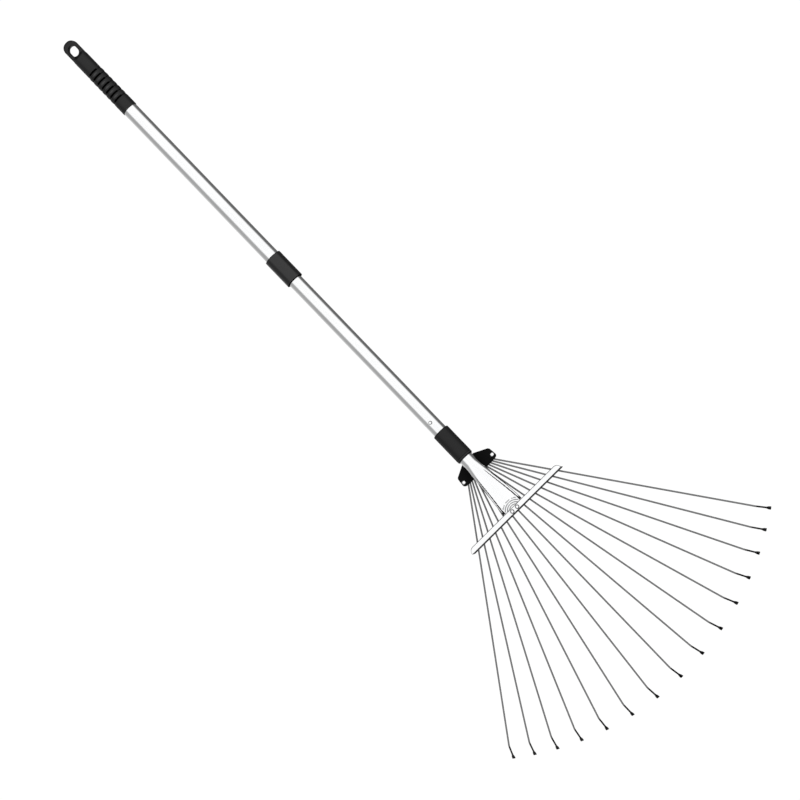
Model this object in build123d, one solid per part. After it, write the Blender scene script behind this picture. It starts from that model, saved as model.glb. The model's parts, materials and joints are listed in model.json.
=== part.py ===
from build123d import *
import os
from math import sin, cos, tan, atan, atan2, sqrt, pi, radians, degrees

os.makedirs("parts", exist_ok=True)

# ---------------------------------------------------------------------------
# Telescopic leaf rake with an adjustable fan of fifteen spring-wire tines.
# Working frame: X runs along the handle axis, towards the tines; the handle
# axis is y = z = 0 and x = 0 lies just ahead of the crossbar. Every solid is
# moved at the end so that the part stands on z = 0 (hook tips) and is centred
# on X and Y. Millimetres throughout.
# ---------------------------------------------------------------------------

# fan of tines
N_TINES = 15
TINE_D = 2.5                 # spring wire
PITCH = 13.98                # tine spacing at x = 0
CONV = 136.5                 # the tine lines meet this far behind x = 0
FAN_R = 493.1                # from that meeting point to the hooks' corner
ROOT_X = -98.5               # row of root holes in the root plates
Z_TINE = -15.6               # height of the wire's centre line
PIN_BEND = 1.6               # bend radius of the root pin
PIN_LEN = 4.1                # root pin below the centre line
HOOK_L = 34.5                # hook, from its corner to the tip
HOOK_A = 46.5                # hook's turn, degrees
HOOK_R = 7.0                 # hook's bend radius
SPADE_L = 11.0               # flattened tip
SPADE_W = 5.8
SPADE_T = 1.1
TRAVEL = 80.0                # head slider's travel

# tubes
R_UP, W_UP = 13.2, 0.5       # outer (upper) tube
R_LO, W_LO = 12.55, 0.7       # inner (lower) tube
X_UP0, X_UP1 = -1078.0, -579.0
X_LO0 = -750.0
X_TAPER0, X_TAPER1 = -112.0, -16.0
FLAT_HALF = 21.2             # half width of the flattened end

# grip
X_GRIP0, X_GRIP1 = -1120.0, -956.8
R_GRIP = 13.9
R_RIB = 14.3
R_NOTCH = 13.65
X_GROOVE, GROOVE_P, N_GROOVE = -1046.0, 10.6, 7
EYE_HALF_W, EYE_HALF_T = 13.2, 6.2
HOLE_X, HOLE_L, HOLE_W = -1098.9, 20.0, 15.2

# handle twist lock
X_HC0, X_HC1, R_HC = -599.5, -544.0, 15.9
# head twist lock
X_DC0, X_DC1, R_DC = -188.0, -127.0, 15.4

# root plates
Z_UP_TOP, PLATE_T = -12.9, 1.2
Z_LO_TOP = Z_TINE - TINE_D / 2 - 0.25
EAR_X, EAR_Y = -101.5, 33.5
PLATE_FRONT = -93.5

# crossbar, an L section
BAR_X = -3.9                 # front face of the web
BAR_HALF = 104.6
BAR_T = 1.5
BAR_DEPTH = 9.5              # flange, along X
BAR_TOP = 2.3                # top face of the flange
BAR_BOTTOM = -20.2           # lower edge of the web
BAR_R = 9.0                  # rounded back corners
BAR_RIV_X, BAR_RIV_Y = -8.3, 5.75
SLOT_X = BAR_X - BAR_T / 2   # middle of the web

# snap button
BTN_X, BTN_R, BTN_TOP = -209.0, 3.1, 13.75


def cyl(x0, x1, r):
    return Pos((x0 + x1) / 2, 0, 0) * Rot(0, 90, 0) * Cylinder(r, x1 - x0)


def rev(pts):
    """Solid of revolution about X from a closed (x, r) outline."""
    w = Polyline(*[(x, 0, r) for x, r in pts], close=True)
    return revolve(make_face(w), axis=Axis.X, revolution_arc=360)


def box(x0, x1, y0, y1, z0, z1):
    return Pos((x0 + x1) / 2, (y0 + y1) / 2, (z0 + z1) / 2) * Box(x1 - x0, y1 - y0, z1 - z0)


def zcyl(x, y, z0, z1, r):
    return Pos(x, y, (z0 + z1) / 2) * Cylinder(r, z1 - z0)


def zrev(x, y, pts):
    """Solid of revolution about the vertical through (x, y) from (r, z)."""
    w = Polyline(*[(r, 0, z) for r, z in pts], close=True)
    return Pos(x, y, 0) * revolve(make_face(w), axis=Axis.Z, revolution_arc=360)


def dome(x, y, z0, r, h, n=8, up=1):
    """Low rivet head: a spherical cap with a short upright rim."""
    rim = 0.25 * h
    cap = h - rim
    rs = (r * r + cap * cap) / (2 * cap)
    a = atan2(r, rs - cap)
    pts = [(0, z0)] + [(r, z0)]
    pts += [(rs * sin(a * (1 - i / n)), z0 + up * (rim + cap - rs + rs * cos(a * (1 - i / n)))) for i in range(n + 1)]
    return zrev(x, y, pts)


parts = {}

# ---------------------------------------------------------------- handle ----
# Hand grip: a moulded sleeve closed at the top by a flattened hanging eye.
prof = [(-1088.0, 0), (-1088.0, 11.0), (-1086.0, 12.3), (-1082.0, 13.4), (-1077.0, R_GRIP)]
x = X_GROOVE
for i in range(N_GROOVE):
    xg = X_GROOVE + GROOVE_P * i
    prof += [(xg - 2.6, R_GRIP if i == 0 else R_RIB), (xg - 0.9, R_NOTCH), (xg + 0.9, R_NOTCH),
             (xg + 2.6, R_RIB if i < N_GROOVE - 1 else R_GRIP + 0.2)]
prof += [(X_GRIP1 - 0.8, R_GRIP + 0.4), (X_GRIP1, R_GRIP + 0.1), (X_GRIP1, 0)]
body = rev(prof)
eye_c = X_GRIP0 + EYE_HALF_W
eye = extrude(Pos(0, 0, -EYE_HALF_T) * (Pos(eye_c, 0) * Circle(EYE_HALF_W) + Pos((eye_c - 1079.0) / 2, 0) * Rectangle(-1079.0 - eye_c, 2 * EYE_HALF_W)), 2 * EYE_HALF_T)
eye = fillet(eye.edges().group_by(Axis.Z)[-1] + eye.edges().group_by(Axis.Z)[0], 2.6)
hole = Pos(HOLE_X, 0, 0) * extrude(Pos(0, 0, -20) * SlotOverall(HOLE_L, HOLE_W), 40)
grip = body + eye - hole - cyl(X_UP0, X_GRIP1 + 1, R_UP + 0.05)
parts["hand_grip"] = grip

parts["upper_tube"] = cyl(X_UP0, X_UP1, R_UP) - cyl(X_UP0 - 1, X_UP1 + 1, R_UP - W_UP)

# Twist lock of the handle: a carrier bonded on the tube's end, a split collet
# that grips the inner tube, and the collar that squeezes it when turned.
r_in = R_UP + 0.04
parts["handle_lock_body"] = rev([(X_HC0 + 1.0, r_in), (X_HC0 + 1.0, 14.2), (-565.0, 14.2), (-565.0, R_LO + 0.4),
                                 (X_UP1 + 0.05, R_LO + 0.4), (X_UP1 + 0.05, r_in)])
collet = rev([(-564.7, R_LO + 0.08), (-564.7, 13.7), (-561.0, 13.7), (-549.5, 13.0), (-549.5, R_LO + 0.08)])
for i, az in enumerate((45, 135, 225, 315)):
    collet -= Rot(az, 0, 0) * box(-562.5, -543.0, -0.8, 0.8, 0, 20)
parts["handle_lock_collet"] = collet
parts["handle_lock_collar"] = rev([(X_HC0, 14.28), (X_HC0, R_HC - 0.5), (X_HC0 + 0.5, R_HC), (X_HC1 - 0.5, R_HC), (X_HC1, R_HC - 0.5),
                                   (X_HC1, R_LO + 0.4), (-548.8, R_LO + 0.4), (-548.8, 13.1), (-561.0, 14.1), (-564.5, 14.28)])

# ------------------------------------------------------------------ pole ----
# Inner tube. Its lower end widens while it is pressed flat, always with the
# same length round the section, and ends in a flat tab under the crossbar.
def half_height(a, girth):
    lo, hi = 0.02, a + 3
    for _ in range(60):
        b = (lo + hi) / 2
        p = pi * (3 * (a + b) - sqrt((3 * a + b) * (a + 3 * b)))
        if p < girth:
            lo = b
        else:
            hi = b
    return b


def ell(xp, a, b):
    return Plane(origin=(xp, 0, 0), x_dir=(0, 1, 0), z_dir=(1, 0, 0)) * Ellipse(a, b)


girth = 2 * pi * R_LO
n_sec = 9
outer, inner = [], []
for i in range(n_sec):
    f = i / (n_sec - 1)
    xs = X_TAPER0 + (X_TAPER1 - X_TAPER0) * f
    g = f * f * (3 - 2 * f) * 0.35 + f * 0.65
    a = R_LO + (FLAT_HALF - R_LO) * g
    b = max(half_height(a, girth * (1 + 0.012 * f)), 0.85)
    if i == 0:
        b = a
    outer.append(ell(xs, a, b))
    if i < n_sec - 1:
        inner.append(ell(xs, a - W_LO, max(b - W_LO, 0.3)))
flare = loft(outer)
bore = loft(inner)
tab = extrude(Pos(0, 0, -0.8) * (Pos((X_TAPER1 - 2 + BAR_X - 2.0) / 2, 0) * Rectangle(BAR_X - 2.0 - X_TAPER1 + 2, 2 * FLAT_HALF - 1.0)), 1.6)
tab = fillet(tab.edges().filter_by(Axis.Z).group_by(Axis.X)[-1], 2.0)
low = (cyl(X_LO0, X_TAPER0, R_LO) - cyl(X_LO0 - 1, X_TAPER0 + 1, R_LO - W_LO)) + ((flare - bore) + tab)
low -= zcyl(BTN_X, 0, 5, 20, BTN_R + 0.07)
for s in (-1, 1):
    low -= zcyl(BAR_RIV_X, s * BAR_RIV_Y, -3, 3, 2.03)
parts["lower_tube"] = low

# End plug of the inner tube, which guides it in the outer tube.
parts["inner_tube_guide"] = rev([(X_LO0 - 14, 8.0), (X_LO0 - 14, R_UP - W_UP - 0.6), (X_LO0 - 13, R_UP - W_UP - 0.08), (X_LO0 - 0.05, R_UP - W_UP - 0.08),
                                 (X_LO0 - 0.05, R_LO - W_LO - 0.04), (X_LO0 + 16, R_LO - W_LO - 0.04), (X_LO0 + 16, 8.0)])

# Snap button and its leaf spring.
parts["snap_button"] = zrev(BTN_X, 0, [(0, 8.0), (4.2, 8.0), (4.2, 9.0), (BTN_R, 9.0), (BTN_R, BTN_TOP - 0.9), (BTN_R - 0.25, BTN_TOP - 0.4),
                                       (BTN_R - 0.9, BTN_TOP - 0.08), (BTN_R - 1.4, BTN_TOP), (0, BTN_TOP)])
spr = [(BTN_X + 5, 7.95), (BTN_X - 8, 7.95), (BTN_X - 44, 1.2), (BTN_X - 47, -1.0), (BTN_X - 44, -3.2), (BTN_X - 6, -10.3), (BTN_X + 4, -10.3),
       (BTN_X + 4, -9.8), (BTN_X - 6, -9.8), (BTN_X - 43.6, -2.75), (BTN_X - 46.3, -1.0), (BTN_X - 43.6, 0.75), (BTN_X - 8, 7.45), (BTN_X + 5, 7.45)]
parts["button_spring"] = Pos(0, 2.5, 0) * extrude(make_face(Polyline(*[(p, 0, q) for p, q in spr], close=True)), 5, dir=(0, -1, 0))

# ---------------------------------------------------------------- slider ----
# Clamp sleeve: a steel C section open on top, so that it passes the button. A
# trough below carries on past the collar and is welded to the upper plate.
r0, r1 = R_LO + 0.08, 13.4
sleeve = cyl(X_DC0 + 2, X_DC1 - 0.6, r1) - cyl(X_DC0 - 5, X_DC1 + 5, r0)
band = cyl(X_DC0 + 6, X_DC0 + 22, 13.92) - cyl(X_DC0, X_DC0 + 30, r0)
sleeve = sleeve + band - box(X_DC0 - 5, X_DC1 + 5, -3.9, 3.9, 3, 20)
trough = cyl(X_DC1 - 2, -111.0, r1) - cyl(X_DC1 - 5, -100, R_LO + 0.08)
wedge = extrude(Plane.YZ.offset(X_DC1 - 3) * make_face(Polyline((0, 0), (-14, -17), (14, -17), close=True)), 30)
trough = trough & wedge
parts["slider_clamp_sleeve"] = sleeve + trough

parts["head_collar"] = rev([(X_DC0, 14.0), (X_DC0, R_DC - 1.1), (X_DC0 + 0.5, R_DC - 0.45), (X_DC0 + 1.3, R_DC), (X_DC1 - 0.6, R_DC), (X_DC1, R_DC - 0.6), (X_DC1, 14.0)])


def plate_outline(front, back, grow=0.0):
    pts = [(back, 12.5), (-113.5, 36.8 + grow), (-95.5, 38.6 + grow), (front, 31.0), (front, -31.0), (-95.5, -38.6 - grow), (-113.5, -36.8 - grow), (back, -12.5)]
    return make_face(Polyline(*[(p, q, 0) for p, q in pts], close=True))


def ear_round(plate):
    es = [e for e in plate.edges().filter_by(Axis.Z) if abs(e.center().Y) > 36]
    plate = fillet(es, 4.5)
    return plate


up = extrude(Pos(0, 0, Z_UP_TOP - PLATE_T) * plate_outline(PLATE_FRONT, -125.5), PLATE_T)
up = ear_round(up)
up -= cyl(-127, -110.95, r1 + 0.01)
up -= zcyl(EAR_X, EAR_Y, -20, 0, 2.03) + zcyl(EAR_X, -EAR_Y, -20, 0, 2.03)
parts["root_plate_upper"] = up

lo = extrude(Pos(0, 0, Z_LO_TOP - PLATE_T) * plate_outline(PLATE_FRONT, -121.0), PLATE_T)
lo = ear_round(lo)
for s in (-1, 1):
    lo += zcyl(EAR_X, s * EAR_Y, Z_LO_TOP - 0.2, Z_UP_TOP - PLATE_T - 0.01, 4.2)
for s in (-1, 1):
    lo -= zcyl(EAR_X, s * EAR_Y, -30, 0, 2.03)
    lo -= zcyl(EAR_X, s * EAR_Y, Z_LO_TOP - PLATE_T - 1, Z_LO_TOP + 1.2, 3.2)
ROOT_P = PITCH * (CONV + ROOT_X) / CONV
for k in range(-7, 8):
    lo -= zcyl(ROOT_X, k * ROOT_P, -30, 0, TINE_D / 2 + 0.07)
# spacer tabs folded up at the back edge hold the two plates apart
for s in (-1, 1):
    lo += box(-120.5, -118.5, s * 9 - 5, s * 9 + 5, Z_LO_TOP - 0.2, Z_UP_TOP - PLATE_T - 0.01)
parts["root_plate_lower"] = lo

riv = []
z_top = Z_UP_TOP + 0.01
z_pocket = Z_LO_TOP + 1.2
for s in (-1, 1):
    riv.append(dome(EAR_X, s * EAR_Y, z_top, 3.3, 1.7) + zcyl(EAR_X, s * EAR_Y, z_pocket - 1.0, z_top + 0.2, 2.0)
               + zcyl(EAR_X, s * EAR_Y, z_pocket - 1.3, z_pocket - 0.01, 3.0))
parts["root_plate_rivets"] = Compound(children=[r for r in riv])

# -------------------------------------------------------------- crossbar ----
def tine_angle(k, s=0.0):
    return atan2(k * PITCH * (CONV + SLOT_X) / CONV - k * ROOT_P, SLOT_X - ROOT_X + s)


def tine_ratio(k):
    """Radians per mm of slider travel that keeps tine k nearest its slot."""
    best = None
    a0, a1 = tine_angle(k), tine_angle(k, TRAVEL)
    for i in range(0, 61):
        c = (a0 - a1) / TRAVEL * (1 + 0.01 * i * 0.5)
        dev = max(abs((tan(a0 - c * s) - tan(tine_angle(k, s))) * (SLOT_X - ROOT_X + s)) for s in [TRAVEL * j / 40 for j in range(41)])
        if best is None or dev < best[0]:
            best = (dev, c)
    return best[1]


flange = extrude(Pos(BAR_X - BAR_DEPTH / 2, 0, BAR_TOP - BAR_T) * Rectangle(BAR_DEPTH, 2 * BAR_HALF), BAR_T)
back = [e for e in flange.edges().filter_by(Axis.Z) if e.center().X < BAR_X - BAR_DEPTH + 0.1]
flange = fillet(back, BAR_R)
web = box(BAR_X - BAR_T, BAR_X, -BAR_HALF, BAR_HALF, BAR_BOTTOM, BAR_TOP)
wc = [e for e in web.edges().filter_by(Axis.X) if e.center().Z < BAR_BOTTOM + 0.1]
web = fillet(wc, 3.0)
bar = flange + web
corner = [e for e in bar.edges().filter_by(Axis.Y) if abs(e.center().X - BAR_X) < 0.01 and abs(e.center().Z - BAR_TOP) < 0.01]
bar = fillet(corner, 1.4)
for k in range(-7, 8):
    ys = []
    c = tine_ratio(k) if k else 0
    for j in range(41):
        s = TRAVEL * j / 40
        a = tine_angle(k) - c * s
        for xf in (BAR_X - BAR_T, BAR_X):
            y = k * ROOT_P + tan(a) * (xf - ROOT_X + s)
            ys += [y - TINE_D / 2 / cos(a), y + TINE_D / 2 / cos(a)]
    y0, y1 = min(ys) - 0.35, max(ys) + 0.35
    hgt = TINE_D + 0.7
    sl = Pos(SLOT_X, (y0 + y1) / 2, Z_TINE) * Box(6, y1 - y0, hgt)
    sl = fillet(sl.edges().filter_by(Axis.X), 0.9)
    bar -= sl
for s in (-1, 1):
    bar -= zcyl(BAR_RIV_X, s * BAR_RIV_Y, 0, 5, 2.03)
parts["crossbar"] = bar

riv = []
for s in (-1, 1):
    riv.append(dome(BAR_RIV_X, s * BAR_RIV_Y, BAR_TOP + 0.01, 3.6, 1.7) + zcyl(BAR_RIV_X, s * BAR_RIV_Y, -1.0, BAR_TOP + 0.2, 2.0)
               + zcyl(BAR_RIV_X, s * BAR_RIV_Y, -2.1, -0.81, 2.6))
parts["crossbar_rivets"] = Compound(children=[r for r in riv])

# ----------------------------------------------------------------- tines ----
def tine(k):
    a = tine_angle(k)
    ln = FAN_R - (CONV + ROOT_X) / cos(a)          # root pin to the hook's corner
    ha = radians(HOOK_A)
    tl = HOOK_R * tan(ha / 2)
    # pin, bend, straight leg, hook bend, straight of the hook, in the XZ plane
    p0 = (0, 0, -PIN_LEN)
    p1 = (0, 0, -PIN_BEND)
    p2 = (PIN_BEND, 0, 0)
    m12 = (PIN_BEND * (1 - cos(pi / 4)), 0, -PIN_BEND * (1 - sin(pi / 4)))
    p3 = (ln - tl, 0, 0)
    m34 = (ln - tl + HOOK_R * sin(ha / 2), 0, -HOOK_R * (1 - cos(ha / 2)))
    p4 = (ln - tl + HOOK_R * sin(ha), 0, -HOOK_R * (1 - cos(ha)))
    lst = HOOK_L - tl - SPADE_L
    p5 = (p4[0] + lst * cos(ha), 0, p4[2] - lst * sin(ha))
    wire = Wire([Line(p0, p1), ThreePointArc(p1, m12, p2), Line(p2, p3), ThreePointArc(p3, m34, p4), Line(p4, p5)])
    rod = sweep(Plane(origin=p0, x_dir=(1, 0, 0), z_dir=(0, 0, 1)) * Circle(TINE_D / 2), path=wire)
    # flattened, flared tip
    d = Vector(cos(ha), 0, -sin(ha))
    secs = []
    for f, hw, ht in ((0.0, TINE_D / 2, TINE_D / 2), (0.35, 1.9, 0.85), (0.7, 2.7, SPADE_T / 2), (1.0, SPADE_W / 2, SPADE_T / 2)):
        o = Vector(*p5) + d * (SPADE_L * f)
        secs.append(Plane(origin=o, x_dir=(0, 1, 0), z_dir=(d.X, d.Y, d.Z)) * Ellipse(hw, ht))
    spade = loft(secs)
    t = rod + spade
    return Pos(ROOT_X, k * ROOT_P, Z_TINE) * Rot(0, 0, degrees(a)) * t


for i in range(N_TINES):
    k = 7 - i                                    # tine_01 is on the +Y side
    parts["tine_%02d" % (i + 1)] = tine(k)

# ------------------------------------------------------- shift and export ----
tip = parts["tine_08"].bounding_box()
X_SHIFT = -(X_GRIP0 + tip.max.X) / 2
Z_SHIFT = -min(parts[n].bounding_box().min.Z for n in parts if n.startswith("tine"))
print("x shift %.4f  z shift %.4f  length %.1f" % (X_SHIFT, Z_SHIFT, tip.max.X - X_GRIP0))
for k in range(7, -8, -1):
    print("tine_%02d" % (8 - k), "angle %.4f deg" % degrees(tine_angle(k)), "root y %.4f" % (k * ROOT_P), "ratio %.6f rad/m" % (-tine_ratio(k) * 1000 if k else 0))
for name, shape in parts.items():
    moved = Pos(X_SHIFT, 0, Z_SHIFT) * shape
    moved.label = name
    export_step(moved, "parts/%s.step" % name)
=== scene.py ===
import bpy, bmesh, json, math
from math import sin, cos, tan, pi, atan2, sqrt, radians
from mathutils import Vector, Matrix


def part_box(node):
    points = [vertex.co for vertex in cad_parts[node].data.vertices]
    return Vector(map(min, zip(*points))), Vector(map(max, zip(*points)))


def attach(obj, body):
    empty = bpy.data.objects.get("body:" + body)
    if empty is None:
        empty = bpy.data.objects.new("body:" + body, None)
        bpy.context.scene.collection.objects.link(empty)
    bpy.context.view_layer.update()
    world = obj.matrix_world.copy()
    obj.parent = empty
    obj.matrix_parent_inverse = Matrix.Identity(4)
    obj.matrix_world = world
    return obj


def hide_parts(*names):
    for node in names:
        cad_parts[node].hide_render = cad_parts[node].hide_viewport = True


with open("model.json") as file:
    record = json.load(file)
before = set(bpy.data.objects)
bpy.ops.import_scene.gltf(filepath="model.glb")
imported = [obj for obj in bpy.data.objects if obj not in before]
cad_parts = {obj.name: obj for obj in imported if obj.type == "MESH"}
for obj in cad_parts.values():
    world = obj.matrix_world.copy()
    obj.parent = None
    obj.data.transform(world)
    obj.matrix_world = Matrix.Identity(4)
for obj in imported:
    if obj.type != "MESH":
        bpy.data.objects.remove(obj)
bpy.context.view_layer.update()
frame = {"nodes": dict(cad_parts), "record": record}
nodes = frame["nodes"]
scene = bpy.context.scene

# ---------------------------------------------------------------- frame ----
# Lengths below are millimetres from a point just ahead of the crossbar and the
# handle's axis; P() turns them into the row frame in metres.
MM = 0.001
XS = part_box("hand_grip")[0].x / MM + 1120.0
ZS = (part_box("upper_tube")[0].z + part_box("upper_tube")[1].z) / 2 / MM


def P(x, y, z):
    return Vector(((x + XS) * MM, y * MM, (z + ZS) * MM))


# ------------------------------------------------------------ mesh tools ----
def paint_attr(ob, name, fn):
    """Point attribute from a function of the position in millimetres."""
    me = ob.data
    at = me.attributes.get(name) or me.attributes.new(name, "FLOAT", "POINT")
    at.data.foreach_set("value", [min(1.0, max(0.0, fn(v.co.x / MM - XS, v.co.y / MM, v.co.z / MM - ZS))) for v in me.vertices])
    return ob


def finish_mesh(name, bm, sharp=35.0, bevel=0.0, segs=2, subdiv=0):
    bmesh.ops.remove_doubles(bm, verts=bm.verts, dist=1e-7)
    bmesh.ops.recalc_face_normals(bm, faces=bm.faces)
    me = bpy.data.meshes.new(name)
    bm.to_mesh(me)
    bm.free()
    ob = bpy.data.objects.new(name, me)
    scene.collection.objects.link(ob)
    if bevel > 0:
        m = ob.modifiers.new("edge", "BEVEL")
        m.width = bevel * MM
        m.segments = segs
        m.limit_method = "ANGLE"
        m.angle_limit = radians(sharp)
        m.harden_normals = False
    if subdiv:
        m = ob.modifiers.new("sub", "SUBSURF")
        m.levels = m.render_levels = subdiv
    bake(ob)
    shade(ob, sharp)
    return ob


def bake(ob):
    if ob.modifiers:
        dg = bpy.context.evaluated_depsgraph_get()
        me = bpy.data.meshes.new_from_object(ob.evaluated_get(dg))
        old = ob.data
        ob.modifiers.clear()
        ob.data = me
        bpy.data.meshes.remove(old)
        me.name = ob.name
    return ob


def shade(ob, sharp=35.0):
    bm = bmesh.new()
    bm.from_mesh(ob.data)
    for f in bm.faces:
        f.smooth = True
    for e in bm.edges:
        e.smooth = len(e.link_faces) == 2 and e.calc_face_angle(0) < radians(sharp)
    bm.to_mesh(ob.data)
    bm.free()
    return ob


def boolean(ob, cutter, op="DIFFERENCE"):
    m = ob.modifiers.new("cut", "BOOLEAN")
    m.object = cutter
    m.operation = op
    m.solver = "EXACT"
    bake(ob)
    bpy.data.objects.remove(cutter)
    return ob


def lathe(name, prof, n=96, bevel=0.0, sharp=35.0, axis="X", at=(0, 0), segs=2):
    """Closed solid of revolution. prof is a closed outline of (along, radius);
    axis X is the handle's axis, axis Z a vertical through at=(x, y)."""
    bm = bmesh.new()
    rings = []
    for a, r in prof:
        if r < 1e-6:
            p = P(a, 0, 0) if axis == "X" else P(at[0], at[1], a)
            rings.append([bm.verts.new(p)])
            continue
        ring = []
        for i in range(n):
            t = 2 * pi * i / n
            p = P(a, r * cos(t), r * sin(t)) if axis == "X" else P(at[0] + r * cos(t), at[1] + r * sin(t), a)
            ring.append(bm.verts.new(p))
        rings.append(ring)
    m = len(rings)
    for k in range(m):
        r0, r1 = rings[k], rings[(k + 1) % m]
        if len(r0) == 1 and len(r1) == 1:
            continue
        for i in range(n):
            j = (i + 1) % n
            if len(r0) == 1:
                bm.faces.new((r0[0], r1[j], r1[i]))
            elif len(r1) == 1:
                bm.faces.new((r0[i], r0[j], r1[0]))
            else:
                bm.faces.new((r0[i], r0[j], r1[j], r1[i]))
    return finish_mesh(name, bm, sharp, bevel, segs)


def skin(bm, rings, cap0=True, cap1=True, loop=False):
    """Quads between rings of points (already in metres)."""
    vs = [[bm.verts.new(p) for p in r] for r in rings]
    n = len(vs[0])
    pairs = list(zip(vs[:-1], vs[1:])) + ([(vs[-1], vs[0])] if loop else [])
    for a, b in pairs:
        for i in range(n):
            j = (i + 1) % n
            bm.faces.new((a[i], a[j], b[j], b[i]))
    if not loop:
        if cap0:
            bm.faces.new(vs[0][::-1])
        if cap1:
            bm.faces.new(vs[-1])
    return vs


def prism(name, pts, z0, z1, bevel=0.0, plane="XY", sharp=35.0, segs=2):
    """Extruded outline: pts are (x, y) for XY, (y, z) for YZ."""
    bm = bmesh.new()
    if plane == "XY":
        lo = [bm.verts.new(P(x, y, z0)) for x, y in pts]
        hi = [bm.verts.new(P(x, y, z1)) for x, y in pts]
    elif plane == "YZ":
        lo = [bm.verts.new(P(z0, y, z)) for y, z in pts]
        hi = [bm.verts.new(P(z1, y, z)) for y, z in pts]
    else:
        lo = [bm.verts.new(P(x, z0, z)) for x, z in pts]
        hi = [bm.verts.new(P(x, z1, z)) for x, z in pts]
    bm.faces.new(lo[::-1])
    bm.faces.new(hi)
    n = len(pts)
    for i in range(n):
        j = (i + 1) % n
        bm.faces.new((lo[i], lo[j], hi[j], hi[i]))
    return finish_mesh(name, bm, sharp, bevel, segs)


def arc(cx, cy, r, a0, a1, n):
    return [(cx + r * cos(radians(a0 + (a1 - a0) * i / n)), cy + r * sin(radians(a0 + (a1 - a0) * i / n))) for i in range(n + 1)]


# ------------------------------------------------------------- materials ----
class Mat:
    """Small helper around a Principled material's node tree."""

    def __init__(self, name, **sockets):
        self.m = bpy.data.materials.new(name)
        self.m.use_nodes = True
        self.t = self.m.node_tree
        self.b = self.t.nodes["Principled BSDF"]
        for k, v in sockets.items():
            self.b.inputs[k.replace("_", " ")].default_value = v
        tc = self.t.nodes.new("ShaderNodeTexCoord")
        self.obj = tc.outputs["Object"]

    def node(self, kind, **props):
        n = self.t.nodes.new(kind)
        for k, v in props.items():
            setattr(n, k, v)
        return n

    def link(self, a, b):
        self.t.links.new(a, b)

    def mapping(self, scale, src=None, rot=(0, 0, 0)):
        n = self.node("ShaderNodeMapping")
        n.inputs["Scale"].default_value = scale
        n.inputs["Rotation"].default_value = rot
        self.link(src or self.obj, n.inputs["Vector"])
        return n.outputs["Vector"]

    def noise(self, vec, scale, detail=4.0, rough=0.55, dist=0.0):
        n = self.node("ShaderNodeTexNoise")
        n.inputs["Scale"].default_value = scale
        n.inputs["Detail"].default_value = detail
        n.inputs["Roughness"].default_value = rough
        n.inputs["Distortion"].default_value = dist
        self.link(vec, n.inputs["Vector"])
        return n.outputs["Fac"]

    def ramp(self, fac, stops):
        n = self.node("ShaderNodeValToRGB")
        e = n.color_ramp.elements
        while len(e) > len(stops):
            e.remove(e[-1])
        while len(e) < len(stops):
            e.new(0.5)
        for el, (pos, col) in zip(e, stops):
            el.position = pos
            el.color = (*col, 1) if len(col) == 3 else col
        self.link(fac, n.inputs["Fac"])
        return n.outputs["Color"]

    def mrange(self, fac, lo, hi, a=0.0, b=1.0):
        n = self.node("ShaderNodeMapRange")
        n.inputs["From Min"].default_value = a
        n.inputs["From Max"].default_value = b
        n.inputs["To Min"].default_value = lo
        n.inputs["To Max"].default_value = hi
        self.link(fac, n.inputs["Value"])
        return n.outputs["Result"]

    def mix(self, fac, a, b):
        n = self.node("ShaderNodeMix", data_type="RGBA")
        for sock, v in ((n.inputs[6], a), (n.inputs[7], b)):
            if isinstance(v, tuple):
                sock.default_value = (*v, 1)
            else:
                self.link(v, sock)
        if isinstance(fac, float):
            n.inputs[0].default_value = fac
        else:
            self.link(fac, n.inputs[0])
        return n.outputs[2]

    def math(self, op, a, b):
        n = self.node("ShaderNodeMath", operation=op)
        for s, v in zip(n.inputs, (a, b)):
            if isinstance(v, (int, float)):
                s.default_value = v
            else:
                self.link(v, s)
        return n.outputs[0]

    def bump(self, height, strength, dist=0.0001, normal=None):
        n = self.node("ShaderNodeBump")
        n.inputs["Strength"].default_value = strength
        n.inputs["Distance"].default_value = dist
        self.link(height, n.inputs["Height"])
        if normal:
            self.link(normal, n.inputs["Normal"])
        return n.outputs["Normal"]

    def set(self, name, src):
        self.link(src, self.b.inputs[name])


def steel(name, base, rough, grain=(8, 1500, 1500), tint=0.06, spot=0.05, bump=0.12, metallic=1.0, dark=None):
    """Polished or drawn steel: fine lines along the part, cloudy tint, faint marks; with dark given, painted shade
    from a point attribute.
    """
    m = Mat(name, Metallic=metallic)
    lines = m.noise(m.mapping(grain), 1.0, 6.0, 0.6)
    cloud = m.noise(m.mapping((14, 40, 40)), 1.0, 3.0)
    fine = m.noise(m.mapping((900, 900, 900)), 1.0, 2.0)
    c = m.mix(m.mrange(cloud, 0.0, 1.0, 0.3, 0.7), tuple(v * (1 - tint) for v in base), base)
    c = m.mix(m.mrange(lines, 0.0, 0.35, 0.35, 0.75), c, tuple(v * (1 - 2 * tint) for v in base))
    c = m.mix(m.mrange(fine, 0.0, 0.4, 0.62, 0.8), c, tuple(v * (1 - 3 * spot) for v in base))
    # painted shade: the colour goes to the dark colour where the painted shade attribute is set
    if dark is not None:
        at = m.node("ShaderNodeAttribute", attribute_name="heat")
        c = m.mix(at.outputs["Fac"], c, dark)
    m.set("Base Color", c)
    r = m.math("ADD", m.mrange(lines, rough * 0.75, rough * 1.35, 0.3, 0.7), m.mrange(cloud, 0.0, rough * 0.35, 0.35, 0.75))
    m.set("Roughness", r)
    m.set("Normal", m.bump(lines, bump, 0.00002))
    return m.m


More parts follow.
